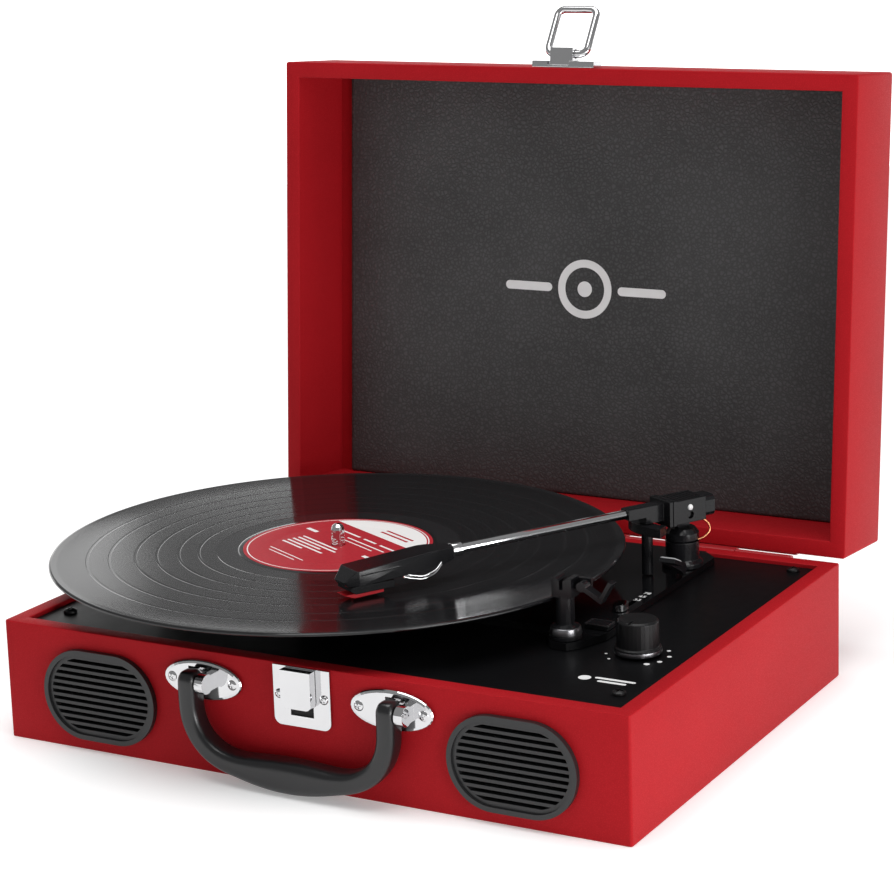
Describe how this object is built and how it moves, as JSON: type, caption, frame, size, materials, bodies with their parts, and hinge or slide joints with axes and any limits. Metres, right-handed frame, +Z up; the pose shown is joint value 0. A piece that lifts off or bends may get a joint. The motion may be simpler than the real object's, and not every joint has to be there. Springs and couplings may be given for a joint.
{
  "type": "suitcase record player",
  "caption": "Portable record player in a suitcase with an open padded lid, a record on the platter, tonearm, carry handle, round-ended speaker grilles and a hasp latch.",
  "frame": {"origin": "centre of the case's underside, flush with its four rubber pads", "axes": "+X to the right along the case, +Y from the front with the handle to the back with the hinge, +Z up"},
  "size_m": [0.3766, 0.3696, 0.3514],
  "materials": {
    "red_case": "red leatherette over board, fine grain",
    "black_board": "black painted board",
    "rubber": "matt",
    "grille_plastic": "satin dark grey",
    "speaker_metal": "satin",
    "board_green": "satin",
    "black_plastic": "satin",
    "deck_gloss": "gloss black",
    "chrome_metal": "polished",
    "pulley_brass": "satin",
    "felt": "felt",
    "vinyl": "grooved gloss black with a red paper label",
    "stylus_red": "gloss red",
    "liner_black": "black grained leatherette",
    "hinge_red": "satin red"
  },
  "bodies": {
    "base": {"front_panel": "red_case", "back_panel": "red_case", "left_panel": "red_case", "right_panel": "red_case", "bottom_panel": "black_board", "foot_1": "rubber", "foot_2": "rubber", "foot_3": "rubber", "foot_4": "rubber", "speaker_grille_left": "grille_plastic", "speaker_grille_right": "grille_plastic", "speaker_left": "speaker_metal", "speaker_right": "speaker_metal", "circuit_board": "board_green", "rear_jack_plate": "black_plastic", "deck_plate": "deck_gloss", "deck_screw_1": "chrome_metal", "deck_screw_2": "chrome_metal", "deck_screw_3": "chrome_metal", "deck_screw_4": "chrome_metal", "mechanism_plate": "deck_gloss", "motor": "speaker_metal", "drive_belt": "rubber", "spindle": "chrome_metal", "tonearm_base": "black_plastic", "arm_rest": "black_plastic", "volume_pot": "black_plastic", "handle_bracket_left": "chrome_metal", "handle_bracket_right": "chrome_metal", "latch_plate": "chrome_metal", "hinge_base_leaf": "hinge_red", "hinge_pin": "chrome_metal"},
    "platter_set": {"platter": "black_plastic", "slip_mat": "felt", "record": "vinyl"},
    "pulley": {"motor_pulley": "pulley_brass"},
    "arm_turret": {"tonearm_turret": "black_plastic"},
    "arm": {"tonearm_block": "grille_plastic", "tonearm_tube": "chrome_metal", "headshell": "black_plastic", "cartridge": "grille_plastic", "stylus": "stylus_red", "counterweight": "black_plastic"},
    "clip": {"arm_rest_clip": "black_plastic"},
    "lever": {"cue_lever": "chrome_metal"},
    "cue_bar": {"cue_platform": "black_plastic"},
    "selector": {"speed_selector": "chrome_metal"},
    "stop_switch": {"auto_stop_switch": "black_plastic"},
    "knob": {"volume_knob": "grille_plastic"},
    "carry_handle": {"handle": "black_plastic"},
    "latch_button": {"latch_slide": "chrome_metal"},
    "lid": {"lid_front_panel": "red_case", "lid_back_panel": "red_case", "lid_left_panel": "red_case", "lid_right_panel": "red_case", "lid_board": "red_case", "lid_liner": "liner_black", "hasp_bracket": "chrome_metal", "hinge_lid_leaf": "hinge_red"},
    "loop": {"hasp_loop": "chrome_metal"}
  },
  "joints": [
    {"name": "lid_hinge", "type": "hinge", "parent": "base", "child": "lid", "pos_m": [0, 0.1339, 0.0595], "axis": [1, 0, 0], "range_deg": [0, 45]},
    {"name": "hasp_swing", "type": "hinge", "parent": "lid", "child": "loop", "pos_m": [0.003, 0.16549, 0.32628], "axis": [1, 0, 0], "range_deg": [0, 122]},
    {"name": "latch_press", "type": "slide", "parent": "base", "child": "latch_button", "axis": [0, 0, -1], "range_m": [0, 0.004], "stiffness_N_per_m": 250, "springref_m": -0.002},
    {"name": "handle_swing", "type": "hinge", "parent": "base", "child": "carry_handle", "pos_m": [0, -0.1393, 0.049], "axis": [1, 0, 0], "range_deg": [-120, 0]},
    {"name": "platter_spin", "type": "hinge", "parent": "base", "child": "platter_set", "pos_m": [-0.0493, -0.0097, 0.075], "axis": [0, 0, 1], "continuous": true},
    {"name": "pulley_spin", "type": "hinge", "parent": "base", "child": "pulley", "pos_m": [-0.11647, -0.05673, 0.06], "axis": [0, 0, 1], "continuous": true},
    {"name": "tonearm_swing", "type": "hinge", "parent": "base", "child": "arm_turret", "pos_m": [0.1043, 0.088, 0.08], "axis": [0, 0, 1], "range_deg": [-12.6, 28]},
    {"name": "tonearm_lift", "type": "hinge", "parent": "arm_turret", "child": "arm", "pos_m": [0.1043, 0.088, 0.094], "axis": [-0.8771, 0.4804, 0], "range_deg": [0, 6.5]},
    {"name": "cue_lever_tilt", "type": "hinge", "parent": "base", "child": "lever", "pos_m": [0.1125, 0.068, 0.0695], "axis": [1, 0, 0], "range_deg": [-40, 0]},
    {"name": "cue_bar_lift", "type": "slide", "parent": "base", "child": "cue_bar", "axis": [0, 0, 1], "range_m": [0, 0.0022]},
    {"name": "clip_swing", "type": "hinge", "parent": "base", "child": "clip", "pos_m": [0.1125, -0.0465, 0.092], "axis": [0, 1, 0], "range_deg": [-120, 0]},
    {"name": "speed_select", "type": "slide", "parent": "base", "child": "selector", "axis": [0, 1, 0], "range_m": [0, 0.014]},
    {"name": "auto_stop_slide", "type": "slide", "parent": "base", "child": "stop_switch", "axis": [0, 1, 0], "range_m": [0, 0.005]},
    {"name": "volume_turn", "type": "hinge", "parent": "base", "child": "knob", "pos_m": [0.1405, -0.045, 0.07], "axis": [0, 0, 1], "range_deg": [-150, 150]}
  ],
  "couplings": [
    {"joint": "pulley_spin", "follows": "platter_spin", "ratio": 9.676},
    {"joint": "tonearm_lift", "follows": "cue_lever_tilt", "ratio": -0.15},
    {"joint": "cue_bar_lift", "follows": "cue_lever_tilt", "m_per_rad": -0.003}
  ]
}
